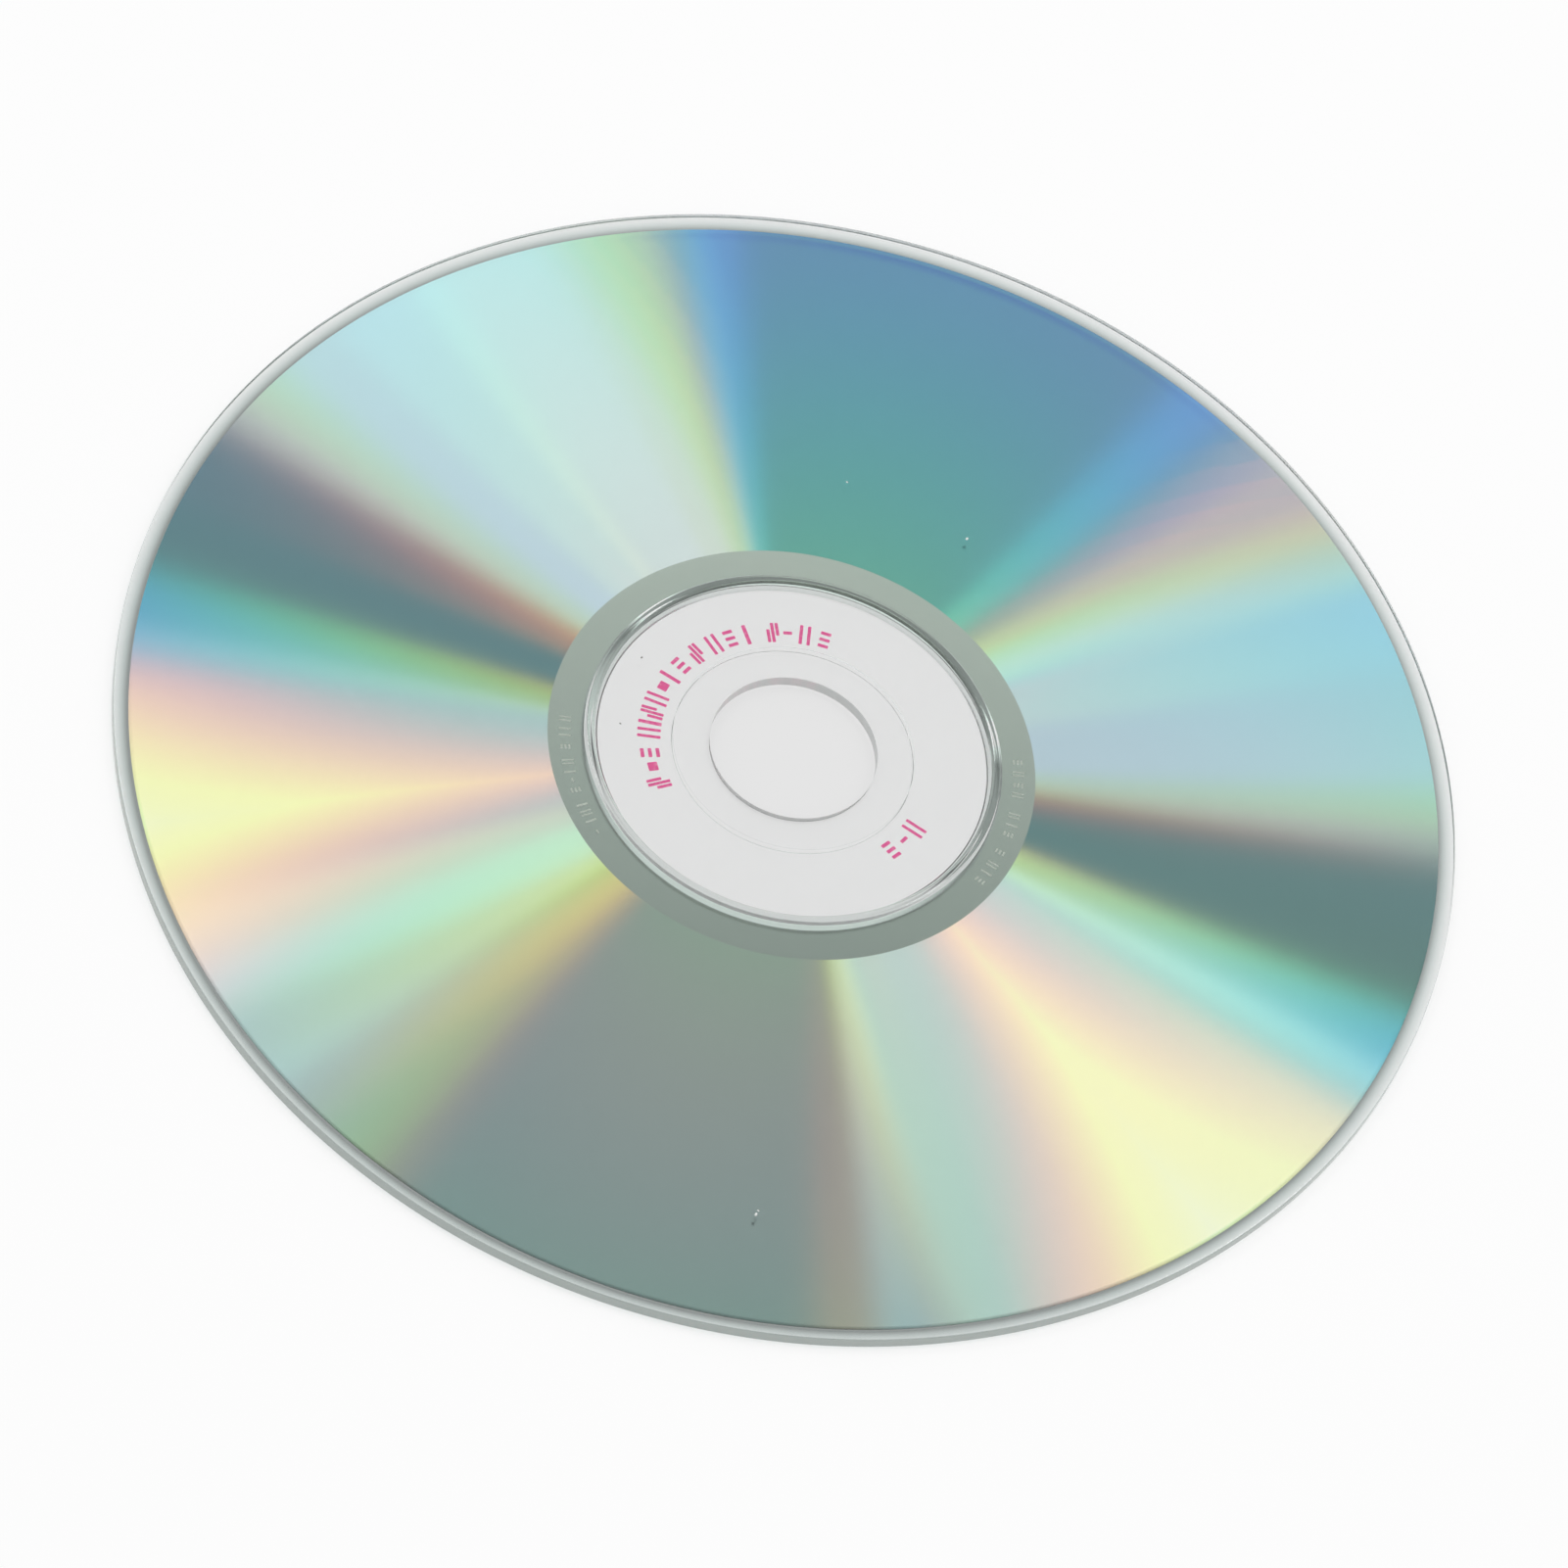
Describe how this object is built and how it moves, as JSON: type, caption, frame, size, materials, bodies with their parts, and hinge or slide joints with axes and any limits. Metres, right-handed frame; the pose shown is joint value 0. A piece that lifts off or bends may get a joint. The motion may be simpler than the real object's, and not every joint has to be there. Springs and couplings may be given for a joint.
{
  "type": "compact disc",
  "caption": "Clear moulded compact disc with a mirrored recording layer, a stacking ridge and a round spindle hole, lying read side up.",
  "frame": {"origin": "on the disc's axis, in the plane that the label side rests on", "axes": "+Z along the disc's axis, out of the read side; X and Y in the plane of the disc"},
  "size_m": [0.12, 0.12, 0.0014],
  "materials": {
    "clear_polycarbonate": "clear moulded polycarbonate, polished on both faces",
    "mirror_coat": "sputtered metal over greenish dye, with a fine spiral groove that spreads light into colours, under lacquer"
  },
  "bodies": {
    "root": {"polycarbonate_disc": "clear_polycarbonate", "reflective_coat": "mirror_coat"}
  },
  "joints": []
}
